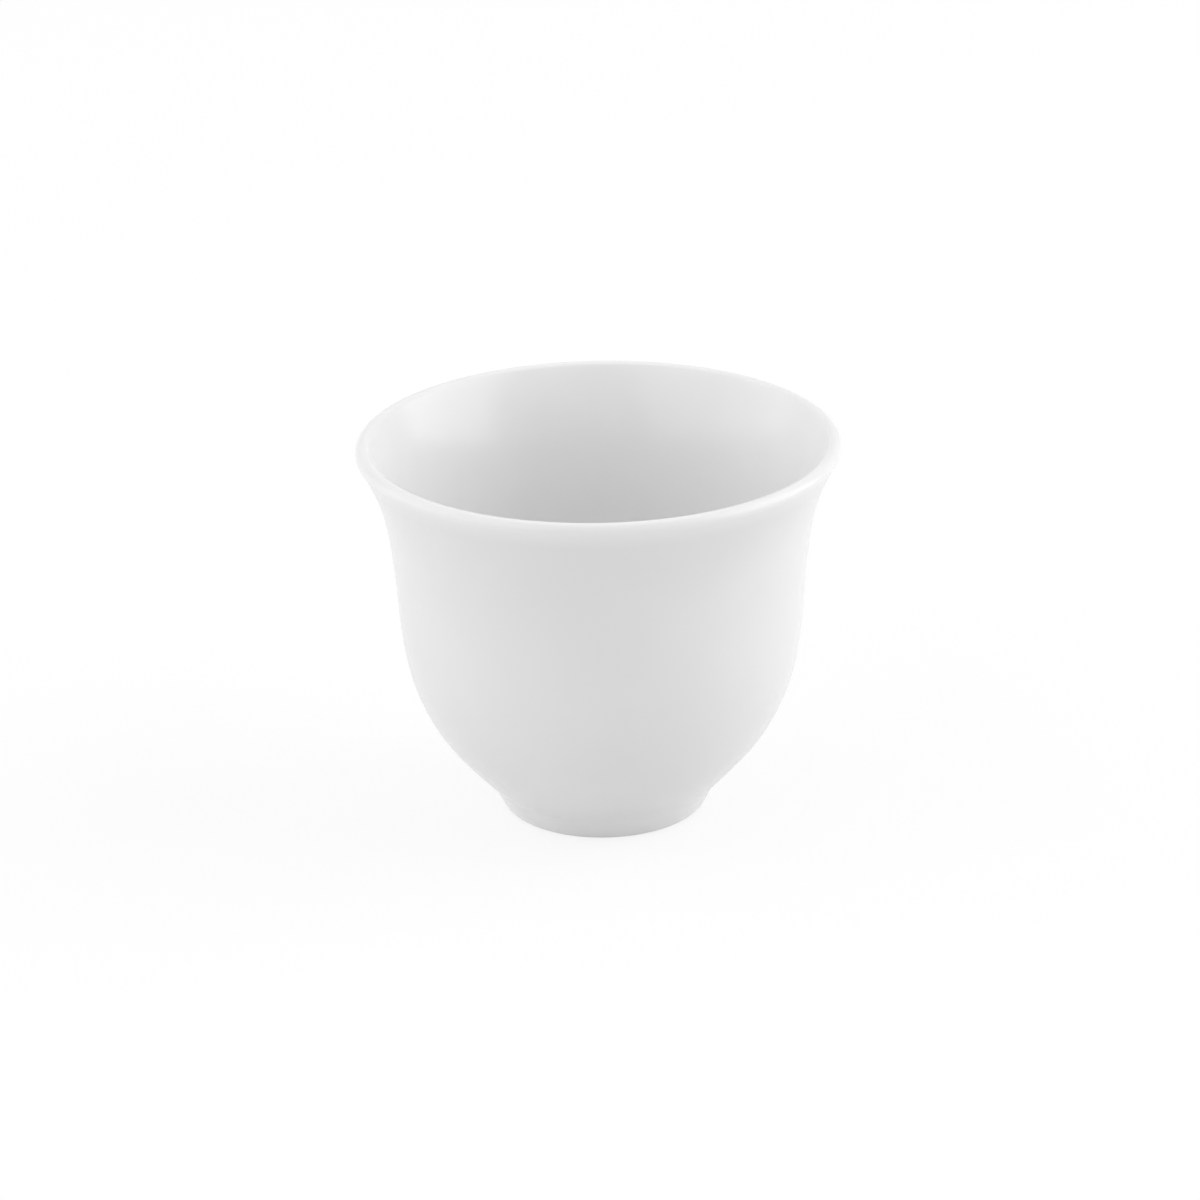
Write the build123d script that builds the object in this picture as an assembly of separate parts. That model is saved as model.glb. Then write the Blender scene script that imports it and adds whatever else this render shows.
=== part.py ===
from build123d import *
from math import atan, cos, radians, sin, sqrt
import os

# Arabic coffee cup: a small handleless porcelain cup with a flared lip and a low foot ring.
# Millimetres and degrees, +Z up. The origin is the middle of the ring that the cup stands on.
# Outside sizes are those of the glazed cup. A lean is the tilt of a wall outwards from the upright.

# Lip: a full round that ends the flare
RIM_DIAMETER = 65.0
CUP_HEIGHT = 52.7
LIP_THICKNESS = 2.0
LIP_LEAN = 31.5

# Outside of the bowl, at the waist under the flare, at the belly and where it leaves the foot
WAIST_DIAMETER = 54.9
WAIST_HEIGHT = 29.5
WAIST_LEAN = 3.0
BELLY_DIAMETER = 48.3
BELLY_HEIGHT = 14.8
BELLY_LEAN = 26.0
BOWL_LEAN = 43.0

# Thickness of the wall, square to the outside, and of the floor at its middle
WAIST_THICKNESS = 2.6
BELLY_THICKNESS = 3.1
FLOOR_THICKNESS = 4.2

# Foot ring: its diameter and height are taken at the crease under the bowl
FOOT_DIAMETER = 30.5
FOOT_HEIGHT = 3.15
FOOT_TAPER = 27.0
FOOT_EDGE_ROUND = 1.35
CREASE_ROUND = 3.0
LAND_WIDTH = 1.3

# Well under the cup: a smooth slope from the land to a ceiling that rises a little to the middle
WELL_SLOPE_WIDTH = 2.4
WELL_DEPTH = 1.7
WELL_RISE = 0.3

# Glaze: its coat, and the band wiped bare on each side of the land
GLAZE_THICKNESS = 0.25
WIPED_WIDTH = 0.8


def leaning(lean):
    """Direction up a wall with this lean, as radius and height."""
    return Vector(sin(radians(lean)), cos(radians(lean)))


def outward(lean):
    """Direction square to a wall with this lean, away from the cup."""
    return Vector(cos(radians(lean)), -sin(radians(lean)))


def biarc(start, start_direction, end, end_direction):
    """Two arcs that run smoothly into each other, from one point and direction to another."""
    span = end - start
    along = span.dot(start_direction + end_direction)
    turn = 1 - start_direction.dot(end_direction)
    reach = span.dot(span) / (along + sqrt(along**2 + 2 * turn * span.dot(span)))
    joint = (start + end + (start_direction - end_direction) * reach) / 2
    first = TangentArc(start, joint, tangent=start_direction)
    second = TangentArc(joint, end, tangent=first % 1)
    return [first, second]


def coat(line):
    """Section of the glaze along a line that has the clay on its left."""
    return make_face(offset(line, GLAZE_THICKNESS, side=Side.LEFT).edges())


def turned(section):
    """Solid of revolution from a half section drawn as radius and height."""
    return revolve(Plane.XZ * section, Axis.Z)


INWARD = Vector(-1, 0)
OUTWARD = Vector(1, 0)

# Foot ring, outside: a flat land, a rounded edge, a tapered side and the crease under the bowl
foot_top = Vector(FOOT_DIAMETER / 2, FOOT_HEIGHT)
edge_top_height = FOOT_EDGE_ROUND * (1 - sin(radians(FOOT_TAPER)))
side_length = (FOOT_HEIGHT - edge_top_height) / cos(radians(FOOT_TAPER))
edge_top = foot_top - leaning(FOOT_TAPER) * side_length
land_outer = Vector((edge_top - outward(FOOT_TAPER) * FOOT_EDGE_ROUND).X, 0)
foot_edge = JernArc(land_outer, OUTWARD, FOOT_EDGE_ROUND, 90 - FOOT_TAPER)
foot_side = Line(edge_top, foot_top)
crease = JernArc(foot_top, leaning(FOOT_TAPER), CREASE_ROUND, FOOT_TAPER - BOWL_LEAN)

# Foot ring, inside: the slope up from the land and the ceiling of the well
land_inner = land_outer + INWARD * LAND_WIDTH
well_corner = land_inner + Vector(-WELL_SLOPE_WIDTH, WELL_DEPTH)
well_middle = Vector(0, WELL_DEPTH + WELL_RISE)
well_tilt = 2 * atan(WELL_RISE / well_corner.X)
down_the_well = Vector(cos(well_tilt), -sin(well_tilt))
ceiling = TangentArc(well_middle, well_corner, tangent=OUTWARD)
well_slope, well_edge = biarc(well_corner, down_the_well, land_inner, OUTWARD)

# Stations of the bowl, outside and inside
belly = Vector(BELLY_DIAMETER / 2, BELLY_HEIGHT)
belly_inside = belly - outward(BELLY_LEAN) * BELLY_THICKNESS
waist = Vector(WAIST_DIAMETER / 2, WAIST_HEIGHT)
waist_inside = waist - outward(WAIST_LEAN) * WAIST_THICKNESS
floor_middle = well_middle + Vector(0, FLOOR_THICKNESS)

# Stations of the lip
lip_round = LIP_THICKNESS / 2
lip_centre = Vector(RIM_DIAMETER / 2 - lip_round, CUP_HEIGHT - lip_round)
lip_outside = lip_centre + outward(LIP_LEAN) * lip_round
lip_inside = lip_centre - outward(LIP_LEAN) * lip_round
crown = lip_centre + Vector(0, lip_round)

# The glaze starts where the wiped bands beside the land end
outer_start = WIPED_WIDTH / foot_edge.length
well_end = 1 - WIPED_WIDTH / well_edge.length

# The three stretches of the outline that are glazed, with the clay on the left
outer_line = [
    foot_edge.trim(outer_start, 1),
    foot_side,
    crease,
    *biarc(crease @ 1, leaning(BOWL_LEAN), belly, leaning(BELLY_LEAN)),
    *biarc(belly, leaning(BELLY_LEAN), waist, leaning(WAIST_LEAN)),
    *biarc(waist, leaning(WAIST_LEAN), lip_outside, leaning(LIP_LEAN)),
    TangentArc(lip_outside, crown, tangent=leaning(LIP_LEAN)),
]
inner_line = [
    TangentArc(crown, lip_inside, tangent=INWARD),
    *biarc(lip_inside, -leaning(LIP_LEAN), waist_inside, -leaning(WAIST_LEAN)),
    *biarc(waist_inside, -leaning(WAIST_LEAN), belly_inside, -leaning(BELLY_LEAN)),
    *biarc(belly_inside, -leaning(BELLY_LEAN), floor_middle, INWARD),
]
well_line = [
    ceiling,
    well_slope,
    well_edge.trim(0, well_end),
]

# The bare stretch: the land with the wiped bands on both sides of it
bare_line = [
    well_edge.trim(well_end, 1),
    Line(land_inner, land_outer),
    foot_edge.trim(0, outer_start),
]

# Half sections: the glazed cup as a whole, its three coats and the clay that is left between them
axis_line = Line(floor_middle, well_middle)
whole_cup = make_face(outer_line + inner_line + [axis_line] + well_line + bare_line)
outer_coat = coat(outer_line)
inner_coat = coat(inner_line)
well_coat = coat(well_line)
clay = whole_cup - outer_coat - inner_coat - well_coat

cup = {
    "porcelain_body": turned(clay),
    "outer_glaze": turned(outer_coat),
    "inner_glaze": turned(inner_coat),
    "foot_well_glaze": turned(well_coat),
}

os.makedirs("parts", exist_ok=True)
for node, solid in cup.items():
    export_step(solid, f"parts/{node}.step")
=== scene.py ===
from math import atan2, ceil, copysign, cos, pi, radians, sin, sqrt
from typing import NamedTuple

import bmesh
import bpy
from mathutils import Matrix, Quaternion, Vector


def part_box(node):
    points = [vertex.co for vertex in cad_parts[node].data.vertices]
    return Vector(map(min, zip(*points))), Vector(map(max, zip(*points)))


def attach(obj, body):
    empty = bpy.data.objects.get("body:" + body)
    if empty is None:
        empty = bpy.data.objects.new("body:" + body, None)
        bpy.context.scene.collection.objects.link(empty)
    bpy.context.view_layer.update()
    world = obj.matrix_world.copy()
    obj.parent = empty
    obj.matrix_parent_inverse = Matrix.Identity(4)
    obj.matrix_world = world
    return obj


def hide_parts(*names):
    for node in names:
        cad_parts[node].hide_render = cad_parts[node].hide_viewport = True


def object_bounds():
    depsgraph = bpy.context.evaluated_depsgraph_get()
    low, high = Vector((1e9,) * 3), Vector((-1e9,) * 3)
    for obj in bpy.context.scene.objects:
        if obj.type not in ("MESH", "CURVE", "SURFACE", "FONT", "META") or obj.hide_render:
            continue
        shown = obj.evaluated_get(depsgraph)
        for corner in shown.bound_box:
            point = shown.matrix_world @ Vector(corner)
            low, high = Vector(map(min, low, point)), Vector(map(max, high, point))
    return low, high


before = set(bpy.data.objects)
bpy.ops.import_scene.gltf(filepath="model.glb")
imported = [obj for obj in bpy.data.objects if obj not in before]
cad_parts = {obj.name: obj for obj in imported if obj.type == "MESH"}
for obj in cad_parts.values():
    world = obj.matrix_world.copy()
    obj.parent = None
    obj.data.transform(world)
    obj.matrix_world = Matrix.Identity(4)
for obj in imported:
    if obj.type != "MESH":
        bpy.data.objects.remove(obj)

cad_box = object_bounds()

# Porcelain body: bowl, lip, floor and foot ring, cast together in one mould from white clay, turned
# clean and fired hard. Only the ring that it stands on is bare, with a wiped band on each side of it.
# Outlines are half sections of the glazed cup, as radius and height, with the clay on their left.
CUP_HEIGHT = cad_box[1].z
RIM_RADIUS = cad_box[1].x
LIP_ROUND = RIM_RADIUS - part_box("inner_glaze")[1].x
LIP_LEAN = radians(31.5)
WAIST_RADIUS = 0.02745
WAIST_HEIGHT = 0.0295
WAIST_LEAN = radians(3)
WAIST_THICKNESS = 0.0026
BELLY_RADIUS = 0.02415
BELLY_HEIGHT = 0.0148
BELLY_LEAN = radians(26)
BELLY_THICKNESS = 0.0031
BOWL_LEAN = radians(43)
FOOT_RADIUS = 0.01525
FOOT_HEIGHT = 0.00315
FOOT_TAPER = radians(27)
FOOT_EDGE_ROUND = 0.00135
CREASE_ROUND = 0.003
LAND_WIDTH = 0.0013
WELL_SLOPE_WIDTH = 0.0024
WELL_DEPTH = 0.0017
WIPED_WIDTH = 0.0008
GLAZE_THICKNESS = CUP_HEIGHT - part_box("porcelain_body")[1].z
FLOOR_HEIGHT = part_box("inner_glaze")[0].z + GLAZE_THICKNESS
WELL_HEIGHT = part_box("foot_well_glaze")[1].z - GLAZE_THICKNESS
OUTWARD = Vector((1, 0))
INWARD = Vector((-1, 0))
SECTION_AXIS = (0, -1, 0)
CUP_AXIS = (0, 0, 1)
LONGEST_STEP = 0.0008
WIDEST_STEP = radians(5)
TURN_STEPS = 192
MERGE_DISTANCE = 1e-6
SHARP_ANGLE = radians(30)


def leaning(lean):
    """Direction up a wall that leans outwards from the upright."""
    return Vector((sin(lean), cos(lean)))


def square(lean):
    """Direction square to a leaning wall, away from the cup."""
    return Vector((cos(lean), -sin(lean)))


def left_of(direction):
    """Direction a quarter turn to the left."""
    return Vector((-direction.y, direction.x))


class Run(NamedTuple):
    """Stretch of an outline: straight, or round about a centre with a turn to the left."""

    start: Vector
    end: Vector
    centre: Vector = None
    turn: float = 0


def arc(start, direction, end):
    """Round run that leaves a point in a direction and ends at another point."""
    span = end - start
    left = left_of(direction)
    centre = start + left * span.length_squared / (2 * span.dot(left))
    return Run(start, end, centre, 2 * atan2(span.dot(left), span.dot(direction)))


def swing(start, centre, turn):
    """Round run that turns a point about a centre."""
    return Run(start, centre + Matrix.Rotation(turn, 2) @ (start - centre), centre, turn)


def bend(start, direction, radius, turn):
    """Round run that leaves a point in a direction and turns on a radius."""
    return swing(start, start + left_of(direction) * copysign(radius, turn), turn)


def parted(run, turn):
    """A round run cut in two after some of its turn."""
    first = swing(run.start, run.centre, turn)
    return first, Run(first.end, run.end, run.centre, run.turn - turn)


def biarc(start, start_direction, end, end_direction):
    """Two round runs, smooth into each other, from one point and direction to another."""
    span = end - start
    along = span.dot(start_direction + end_direction)
    turn = 1 - start_direction.dot(end_direction)
    reach = span.length_squared / (along + sqrt(along**2 + 2 * turn * span.length_squared))
    joint = (start + end + (start_direction - end_direction) * reach) / 2
    first = arc(start, start_direction, joint)
    second = arc(joint, Matrix.Rotation(first.turn, 2) @ start_direction, end)
    return first, second


def placed(point):
    """Point of a half section in the cup's frame."""
    return Vector((point.x, 0, point.y))


def draw(section, outline, depth=0):
    """Chain of edges along an outline, at a depth under the surface; gives its two end vertices."""
    start, _, centre, turn = outline[0]
    into_clay = (centre - start).normalized() * copysign(1, turn)
    first = section.verts.new(placed(start + into_clay * depth))
    last = first
    for run in outline:
        if run.centre is None:
            last = bmesh.ops.extrude_vert_indiv(section, verts=[last])["verts"][0]
            bmesh.ops.translate(section, verts=[last], vec=placed(run.end - run.start))
        else:
            sweep = abs(run.turn) * (run.start - run.centre).length
            spun = bmesh.ops.spin(
                section,
                geom=[last],
                cent=placed(run.centre),
                axis=SECTION_AXIS,
                angle=run.turn,
                steps=ceil(max(abs(run.turn) / WIDEST_STEP, sweep / LONGEST_STEP)),
            )
            last = spun["geom_last"][0]
    return first, last


def join(section, one, other):
    """Straight edge between two vertices of a section."""
    bmesh.ops.contextual_create(section, geom=[one, other])


def turned(name, section):
    """Object made by turning a half section once round the cup's axis."""
    bmesh.ops.spin(
        section,
        geom=section.verts[:] + section.edges[:],
        cent=(0, 0, 0),
        axis=CUP_AXIS,
        angle=2 * pi,
        steps=TURN_STEPS,
        use_merge=True,
    )
    bmesh.ops.remove_doubles(section, verts=section.verts, dist=MERGE_DISTANCE)
    bmesh.ops.recalc_face_normals(section, faces=section.faces)
    for face in section.faces:
        face.smooth = True
    mesh = bpy.data.meshes.new(name)
    section.to_mesh(mesh)
    section.free()
    mesh.set_sharp_from_angle(angle=SHARP_ANGLE)
    piece = bpy.data.objects.new(name, mesh)
    bpy.context.scene.collection.objects.link(piece)
    return piece


class Value:
    """A socket in a node tree; sums and products of values add Math nodes."""

    def __init__(self, nodes, socket):
        self.nodes = nodes
        self.socket = socket

    def maths(self, operation, first, second):
        """One Math node on two values or numbers."""
        return self.nodes.add("ShaderNodeMath", {"operation": operation}, {0: first, 1: second})

    def __add__(self, other):
        return self.maths("ADD", self, other)

    def __radd__(self, other):
        return self.maths("ADD", other, self)

    def __sub__(self, other):
        return self.maths("SUBTRACT", self, other)

    def __rsub__(self, other):
        return self.maths("SUBTRACT", other, self)

    def __mul__(self, other):
        return self.maths("MULTIPLY", self, other)

    def __rmul__(self, other):
        return self.maths("MULTIPLY", other, self)

    def either(self, other):
        """The larger of two values."""
        return self.maths("MAXIMUM", self, other)


class Nodes:
    """The nodes of a material or of the world, added one by one."""

    # Numbers of a Mix node's sockets for colours, whose names its sockets for numbers have too
    MIX_SHARE = 0
    MIX_FIRST = 6
    MIX_SECOND = 7
    MIX_COLOUR = 2

    def __init__(self, owner):
        owner.use_nodes = True
        self.tree = owner.node_tree
        self.tree.nodes.clear()

    def add(self, kind, settings, sockets, output=0):
        """One node: its settings, then the values and links of its sockets."""
        node = self.tree.nodes.new(kind)
        for name, setting in settings.items():
            setattr(node, name, setting)
        for name, value in sockets.items():
            if isinstance(value, Value):
                self.tree.links.new(value.socket, node.inputs[name])
            else:
                node.inputs[name].default_value = value
        return Value(self, node.outputs[output]) if node.outputs else None

    def place(self):
        """Place on the piece, in metres."""
        return self.add("ShaderNodeTexCoord", {}, {}, output="Object")

    def height(self):
        """Height of the surface above the table."""
        return self.add("ShaderNodeSeparateXYZ", {}, {"Vector": self.place()}, output="Z")

    def noise(self, blob, detail):
        """Cloudy pattern with blobs of this size in metres."""
        sockets = {"Vector": self.place(), "Scale": 1 / blob, "Detail": detail}
        return self.add("ShaderNodeTexNoise", {}, sockets)

    def rise(self, value, start, end):
        """Smooth rise from 0 to 1 while a value goes from start to end."""
        return self.add(
            "ShaderNodeMapRange",
            {"interpolation_type": "SMOOTHSTEP"},
            {"Value": value, "From Min": start, "From Max": end, "To Min": 0, "To Max": 1},
        )

    def blend(self, share, first, second):
        """Colour between two others."""
        sockets = {self.MIX_SHARE: share, self.MIX_FIRST: first, self.MIX_SECOND: second}
        return self.add("ShaderNodeMix", {"data_type": "RGBA"}, sockets, output=self.MIX_COLOUR)

    def bump(self, pattern, depth, under=None):
        """Surface lifted by a pattern, up to a depth in metres, on top of any other bump."""
        sockets = {"Strength": 1, "Distance": depth, "Height": pattern}
        if under is not None:
            sockets["Normal"] = under
        return self.add("ShaderNodeBump", {}, sockets)


foot_top = Vector((FOOT_RADIUS, FOOT_HEIGHT))
edge_rise = FOOT_EDGE_ROUND * (1 - sin(FOOT_TAPER))
edge_top = foot_top - leaning(FOOT_TAPER) * (FOOT_HEIGHT - edge_rise) / cos(FOOT_TAPER)
land_outer = Vector(((edge_top - square(FOOT_TAPER) * FOOT_EDGE_ROUND).x, 0))
land_inner = land_outer + INWARD * LAND_WIDTH
foot_edge = bend(land_outer, OUTWARD, FOOT_EDGE_ROUND, pi / 2 - FOOT_TAPER)
foot_bare, foot_glazed = parted(foot_edge, WIPED_WIDTH / FOOT_EDGE_ROUND)
crease = bend(foot_top, leaning(FOOT_TAPER), CREASE_ROUND, FOOT_TAPER - BOWL_LEAN)

well_middle = Vector((0, WELL_HEIGHT))
well_corner = land_inner + Vector((-WELL_SLOPE_WIDTH, WELL_DEPTH))
ceiling = arc(well_middle, OUTWARD, well_corner)
down_the_well = Matrix.Rotation(ceiling.turn, 2) @ OUTWARD
well_slope, well_edge = biarc(well_corner, down_the_well, land_inner, OUTWARD)
well_edge_round = (well_edge.start - well_edge.centre).length
well_glazed, well_bare = parted(well_edge, well_edge.turn - WIPED_WIDTH / well_edge_round)

belly = Vector((BELLY_RADIUS, BELLY_HEIGHT))
belly_inside = belly - square(BELLY_LEAN) * BELLY_THICKNESS
waist = Vector((WAIST_RADIUS, WAIST_HEIGHT))
waist_inside = waist - square(WAIST_LEAN) * WAIST_THICKNESS
floor_middle = Vector((0, FLOOR_HEIGHT))
lip_centre = Vector((RIM_RADIUS - LIP_ROUND, CUP_HEIGHT - LIP_ROUND))
lip_outside = lip_centre + square(LIP_LEAN) * LIP_ROUND
lip_inside = lip_centre - square(LIP_LEAN) * LIP_ROUND
crown = Vector((lip_centre.x, CUP_HEIGHT))

outer_line = [
    foot_glazed,
    Run(edge_top, foot_top),
    crease,
    *biarc(crease.end, leaning(BOWL_LEAN), belly, leaning(BELLY_LEAN)),
    *biarc(belly, leaning(BELLY_LEAN), waist, leaning(WAIST_LEAN)),
    *biarc(waist, leaning(WAIST_LEAN), lip_outside, leaning(LIP_LEAN)),
    arc(lip_outside, leaning(LIP_LEAN), crown),
]
inner_line = [
    arc(crown, INWARD, lip_inside),
    *biarc(lip_inside, -leaning(LIP_LEAN), waist_inside, -leaning(WAIST_LEAN)),
    *biarc(waist_inside, -leaning(WAIST_LEAN), belly_inside, -leaning(BELLY_LEAN)),
    *biarc(belly_inside, -leaning(BELLY_LEAN), floor_middle, INWARD),
]
well_line = [ceiling, well_slope, well_glazed]
bare_line = [well_bare, Run(land_inner, land_outer), foot_bare]

body_section = bmesh.new()
outer_foot, _ = draw(body_section, outer_line, GLAZE_THICKNESS)
draw(body_section, inner_line, GLAZE_THICKNESS)
_, well_foot = draw(body_section, well_line, GLAZE_THICKNESS)
bare_inner, bare_outer = draw(body_section, bare_line)
join(body_section, well_foot, bare_inner)
join(body_section, bare_outer, outer_foot)
fired_body = turned("fired_body", body_section)

BARE_CLAY = (0.86, 0.85, 0.82, 1)
CLAY_ROUGHNESS = 0.7
CLAY_GRAIN = 0.00035
CLAY_GRAIN_DEPTH = 0.00002
GRAIN_ROUGHNESS = 0.25
TURNING_PITCH = 0.0002
TURNING_DEPTH = 0.000012
RADIANS_PER_SCALE = 20
SCUFF_BLOB = 0.003
SCUFF_HEIGHT = 0.00012
SCUFFS_ABOVE_LAND = 0.35
RUBBED_SMOOTHNESS = 0.12
GREYED_CLAY = (0.73, 0.715, 0.685, 1)
GREY_ALL_OVER = 0.5
GREY_IN_GRAIN = 0.3
GREY_IN_LINES = 0.2

bare_porcelain = bpy.data.materials.new("bare_porcelain")
clay = Nodes(bare_porcelain)
grain = clay.noise(CLAY_GRAIN, detail=4)
# Rings run through RADIANS_PER_SCALE in a metre at a scale of 1
turning = clay.add(
    "ShaderNodeTexWave",
    {"wave_type": "RINGS", "rings_direction": "Z"},
    {
        "Vector": clay.place(),
        "Scale": 2 * pi / (RADIANS_PER_SCALE * TURNING_PITCH),
        "Distortion": 2,
        "Detail": 2,
        "Detail Scale": 0.1,
    },
    output="Fac",
)
turned_lines = clay.bump(turning, TURNING_DEPTH)
rubbed = 1 - clay.rise(clay.height(), start=0, end=SCUFF_HEIGHT)
scuff_spots = clay.rise(clay.noise(SCUFF_BLOB, detail=6), start=0.4, end=0.7)
scuffs = scuff_spots * (SCUFFS_ABOVE_LAND + (1 - SCUFFS_ABOVE_LAND) * rubbed)
greyed = scuffs * (GREY_ALL_OVER + GREY_IN_GRAIN * grain + GREY_IN_LINES * turning)
clay_shader = clay.add(
    "ShaderNodeBsdfPrincipled",
    {},
    {
        "Base Color": clay.blend(greyed, BARE_CLAY, GREYED_CLAY),
        "Roughness": CLAY_ROUGHNESS + GRAIN_ROUGHNESS * grain - RUBBED_SMOOTHNESS * rubbed,
        "Normal": clay.bump(grain, CLAY_GRAIN_DEPTH, turned_lines),
    },
)
clay.add("ShaderNodeOutputMaterial", {}, {"Surface": clay_shader})

fired_body.data.materials.append(bare_porcelain)
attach(fired_body, "root")
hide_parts("porcelain_body")

# Inside glaze: clear glaze poured into the cup and out again, melted to a glossy coat on the white
# clay. It ends on the crown of the lip and lies a little thicker where it ran down to the floor.
GLAZE_WHITE = (0.845, 0.845, 0.845, 1)
GLAZE_CLOUD = (0.825, 0.825, 0.825, 1)
GLAZE_POOLED = (0.828, 0.831, 0.832, 1)
# Painted light: this paler white on the lip stands in for light shining through it, and on the foot it
# lifts the shade near the table.
GLAZE_PAINTED_LIGHT = (0.895, 0.895, 0.895, 1)
GLAZE_ROUGHNESS = 0.2
GLAZE_REFRACTION = 1.5
CLOUD_BLOB = 0.022
CLOUD_ROUGHNESS = 0.05
WAVE_BLOB = 0.009
WAVE_DEPTH = 0.000012
PEEL_BLOB = 0.0013
PEEL_DEPTH = 0.0000012
PEEL_ROUGHNESS = 0.03
FLOOR_POOL_TOP = 0.011
# Where the painted light on the inside of the lip starts, and how much of it is kept on the crown.
INSIDE_LIP_START = 0.0506
CROWN_LIP_SHARE = 0.2


def glaze(name, tints):
    """Glossy white glaze; tints gives, from its nodes, pairs of a share and a shade to lay over it."""
    material = bpy.data.materials.new(name)
    nodes = Nodes(material)
    cloud = nodes.noise(CLOUD_BLOB, detail=2)
    colour = nodes.blend(nodes.rise(cloud, start=0.35, end=0.7), GLAZE_WHITE, GLAZE_CLOUD)
    for share, tint in tints(nodes):
        colour = nodes.blend(share, colour, tint)
    waves = nodes.bump(nodes.noise(WAVE_BLOB, detail=1), WAVE_DEPTH)
    peel = nodes.noise(PEEL_BLOB, detail=2)
    shader = nodes.add(
        "ShaderNodeBsdfPrincipled",
        {},
        {
            "Base Color": colour,
            "Roughness": GLAZE_ROUGHNESS + CLOUD_ROUGHNESS * cloud + PEEL_ROUGHNESS * peel,
            "IOR": GLAZE_REFRACTION,
            "Normal": nodes.bump(peel, PEEL_DEPTH, waves),
        },
    )
    nodes.add("ShaderNodeOutputMaterial", {}, {"Surface": shader})
    return material


def inside_tints(nodes):
    """The pool on the floor, and painted light on the lip for the light that shines through it."""
    pool = 1 - nodes.rise(nodes.height(), FLOOR_HEIGHT, FLOOR_POOL_TOP)
    lip = CROWN_LIP_SHARE * nodes.rise(nodes.height(), INSIDE_LIP_START, CUP_HEIGHT)
    return [(pool, GLAZE_POOLED), (lip, GLAZE_PAINTED_LIGHT)]


inside_section = bmesh.new()
inside_crown, _ = draw(inside_section, inner_line)
inside_clay, _ = draw(inside_section, inner_line, GLAZE_THICKNESS)
join(inside_section, inside_crown, inside_clay)
inside_coat = turned("inside_coat", inside_section)
inside_coat.data.materials.append(glaze("inside_glaze", inside_tints))
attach(inside_coat, "root")
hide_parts("inner_glaze")

# Outside glaze: the same glaze, put on by dipping the cup. It runs from the crown of the lip to the
# edge of the foot, where it was wiped off while it was still a dry powder.
GLAZE_EDGE_ROUND = 0.00008
GLAZE_EDGE_STEPS = 4
# Painted light on the outside of the lip, for light shining through it, and on the foot, lifting the
# shade near the table.
OUTSIDE_LIP_START = 0.0487
OUTSIDE_LIP_FULL = 0.0515
FOOT_PAINTED_LIGHT_START = 0.005
FOOT_PAINTED_LIGHT_FULL = 0.0025
FOOT_PAINTED_LIGHT_SHARE = 0.5

outside_section = bmesh.new()
outside_edge, outside_crown = draw(outside_section, outer_line)
clay_edge, clay_crown = draw(outside_section, outer_line, GLAZE_THICKNESS)
join(outside_section, outside_edge, clay_edge)
join(outside_section, outside_crown, clay_crown)


def round_off(section, vertex):
    """Rounds the melted edge where a coat stops."""
    bmesh.ops.bevel(
        section,
        geom=[vertex],
        offset=GLAZE_EDGE_ROUND,
        segments=GLAZE_EDGE_STEPS,
        profile=0.5,
        affect="VERTICES",
        material=-1,
    )


round_off(outside_section, outside_edge)
outside_coat = turned("outside_coat", outside_section)


def outside_tints(nodes):
    """Painted light, a whiter glaze: on the foot to lift its shade, on the lip for light through it."""
    height = nodes.height()
    on_foot = FOOT_PAINTED_LIGHT_SHARE * (1 - nodes.rise(height, FOOT_PAINTED_LIGHT_FULL, FOOT_PAINTED_LIGHT_START))
    on_lip = nodes.rise(height, OUTSIDE_LIP_START, OUTSIDE_LIP_FULL)
    on_crown = nodes.rise(height, OUTSIDE_LIP_FULL, CUP_HEIGHT)
    return [(on_foot.either(on_lip * (1 - (1 - CROWN_LIP_SHARE) * on_crown)), GLAZE_PAINTED_LIGHT)]


outside_coat.data.materials.append(glaze("outside_glaze", outside_tints))
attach(outside_coat, "root")
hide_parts("outer_glaze")

# Foot well glaze: the round patch of the same glaze under the cup, left inside the bare ring that
# was wiped clean so that the cup would not melt fast to the kiln shelf.
well_section = bmesh.new()
_, well_rim = draw(well_section, well_line)
_, well_clay = draw(well_section, well_line, GLAZE_THICKNESS)
join(well_section, well_rim, well_clay)
round_off(well_section, well_rim)
foot_well_coat = turned("foot_well_coat", well_section)


def well_tints(nodes):
    """The pool, which is on the ceiling of the well because the cup was glazed upside down."""
    return [(nodes.rise(nodes.height(), 0, WELL_HEIGHT), GLAZE_POOLED)]


foot_well_coat.data.materials.append(glaze("foot_well_glaze", well_tints))
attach(foot_well_coat, "root")
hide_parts("foot_well_glaze")

# Table: a plain matt white sheet that the cup stands on. The camera and gloss see it white with a
# share of its shade, which keeps the cup's soft shadow. Other light bounces off it as off matt white.
TABLE_HALF = 2.0
TABLE_BOUNCE = (0.8, 0.8, 0.8, 1)
SHADE_SHARE = 0.2
WHITE = (1, 1, 1, 1)

table_top = bmesh.new()
bmesh.ops.create_grid(table_top, x_segments=1, y_segments=1, size=TABLE_HALF)
table_mesh = bpy.data.meshes.new("table")
table_top.to_mesh(table_mesh)
table_top.free()
table = bpy.data.objects.new("table", table_mesh)
bpy.context.scene.collection.objects.link(table)


def seen(nodes):
    """1 where the camera, gloss or glass looks, and 0 where light is only gathered."""
    eye = nodes.add("ShaderNodeLightPath", {}, {}, output="Is Camera Ray")
    gloss = nodes.add("ShaderNodeLightPath", {}, {}, output="Is Glossy Ray")
    glass = nodes.add("ShaderNodeLightPath", {}, {}, output="Is Transmission Ray")
    return eye.either(gloss).either(glass)


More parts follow.
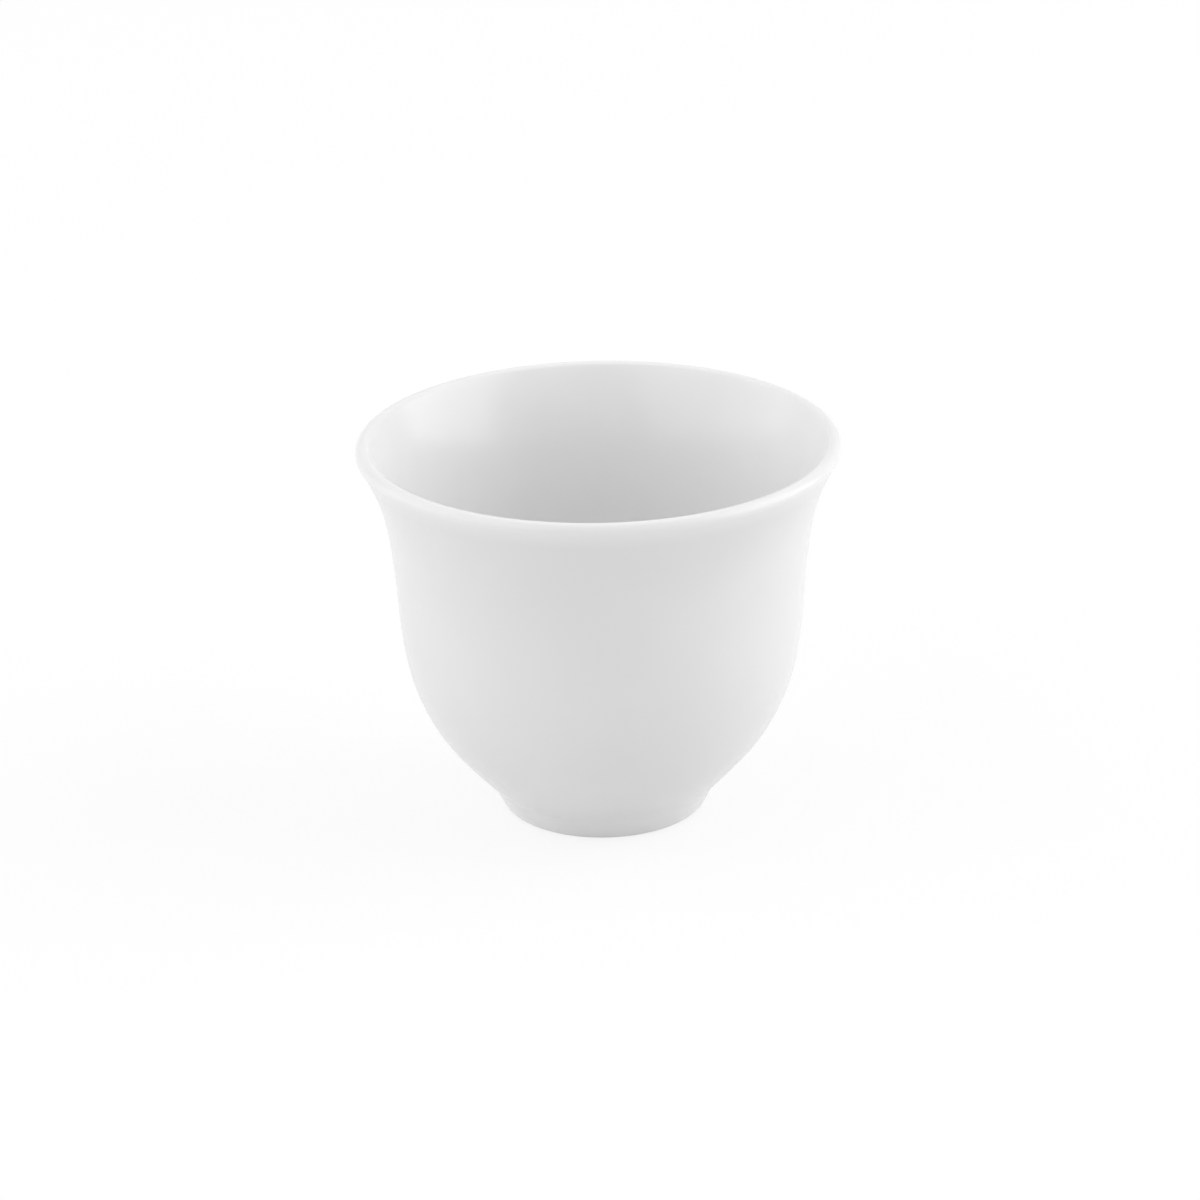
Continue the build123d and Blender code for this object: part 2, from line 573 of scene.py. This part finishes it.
table_white = bpy.data.materials.new("table_white")
sheet = Nodes(table_white)
bounce = sheet.add("ShaderNodeBsdfDiffuse", {}, {"Color": TABLE_BOUNCE})
shade = sheet.add("ShaderNodeBsdfDiffuse", {}, {"Color": WHITE})
glow = sheet.add("ShaderNodeEmission", {}, {"Color": WHITE, "Strength": 1})
shown = sheet.add("ShaderNodeMixShader", {}, {0: SHADE_SHARE, 1: glow, 2: shade})
sheet_surface = sheet.add("ShaderNodeMixShader", {}, {0: seen(sheet), 1: bounce, 2: shown})
sheet.add("ShaderNodeOutputMaterial", {}, {"Surface": sheet_surface})
table_mesh.materials.append(table_white)

# Studio: a white room with a large soft lamp on each side and a weak one above the back. The room is
# white to the camera and to gloss, and the fill that it gives is plain and even.
ROOM_FILL = 0.49
LAMP_DISTANCE = 1.2

room = bpy.data.worlds.new("white_room")
bpy.context.scene.world = room
air = Nodes(room)
backdrop = air.add("ShaderNodeBackground", {}, {"Color": WHITE, "Strength": 1})
fill = air.add("ShaderNodeBackground", {}, {"Color": WHITE, "Strength": ROOM_FILL})
room_light = air.add("ShaderNodeMixShader", {}, {0: seen(air), 1: fill, 2: backdrop})
air.add("ShaderNodeOutputWorld", {}, {"Surface": room_light})


def soft_lamp(name, azimuth, elevation, width, length, power):
    """Soft lamp that faces the cup; azimuth 0 is in front and 90 on the right."""
    lamp_data = bpy.data.lights.new(name, "AREA")
    lamp_data.shape = "RECTANGLE"
    lamp_data.size = width
    lamp_data.size_y = length
    lamp_data.energy = power
    lamp = bpy.data.objects.new(name, lamp_data)
    side = Vector((sin(azimuth) * cos(elevation), -cos(azimuth) * cos(elevation), sin(elevation)))
    lamp.location = side * LAMP_DISTANCE
    lamp.rotation_mode = "QUATERNION"
    lamp.rotation_quaternion = side.to_track_quat("Z", "Y")
    lamp.visible_camera = False
    bpy.context.scene.collection.objects.link(lamp)


soft_lamp("right_lamp", azimuth=radians(90), elevation=radians(20), width=1.2, length=1.8, power=12.4)
soft_lamp("left_lamp", azimuth=radians(285), elevation=radians(20), width=2.2, length=2.2, power=14.4)
soft_lamp("back_lamp", azimuth=radians(180), elevation=radians(65), width=1.4, length=1, power=2.3)

# Camera: a long lens a little above the cup, at the photograph's angle and a touch out of level. It
# looks at the middle of the cup, and a small shift sets that point where the photograph has it.
CAMERA_DISTANCE = 0.6
CAMERA_ELEVATION = radians(22.46)
CAMERA_ROLL = radians(-1.055)
AIM_HEIGHT = 0.026
SENSOR_WIDTH = 36
LENS_LENGTH = 132.48
PHOTO_SIDE = 1200
AIM_RIGHT_PIXELS = 1.74
AIM_DOWN_PIXELS = 22.99

camera_data = bpy.data.cameras.new("camera")
camera_data.sensor_width = SENSOR_WIDTH
camera_data.lens = LENS_LENGTH
camera_data.shift_x = -AIM_RIGHT_PIXELS / PHOTO_SIDE
camera_data.shift_y = AIM_DOWN_PIXELS / PHOTO_SIDE
camera = bpy.data.objects.new("camera", camera_data)
towards_camera = Vector((0, -cos(CAMERA_ELEVATION), sin(CAMERA_ELEVATION)))
camera.location = Vector((0, 0, AIM_HEIGHT)) + towards_camera * CAMERA_DISTANCE
camera.rotation_mode = "QUATERNION"
camera.rotation_quaternion = towards_camera.to_track_quat("Z", "Y") @ Quaternion((0, 0, 1), CAMERA_ROLL)
bpy.context.scene.collection.objects.link(camera)
bpy.context.scene.camera = camera
bpy.context.scene.view_settings.view_transform = "Standard"
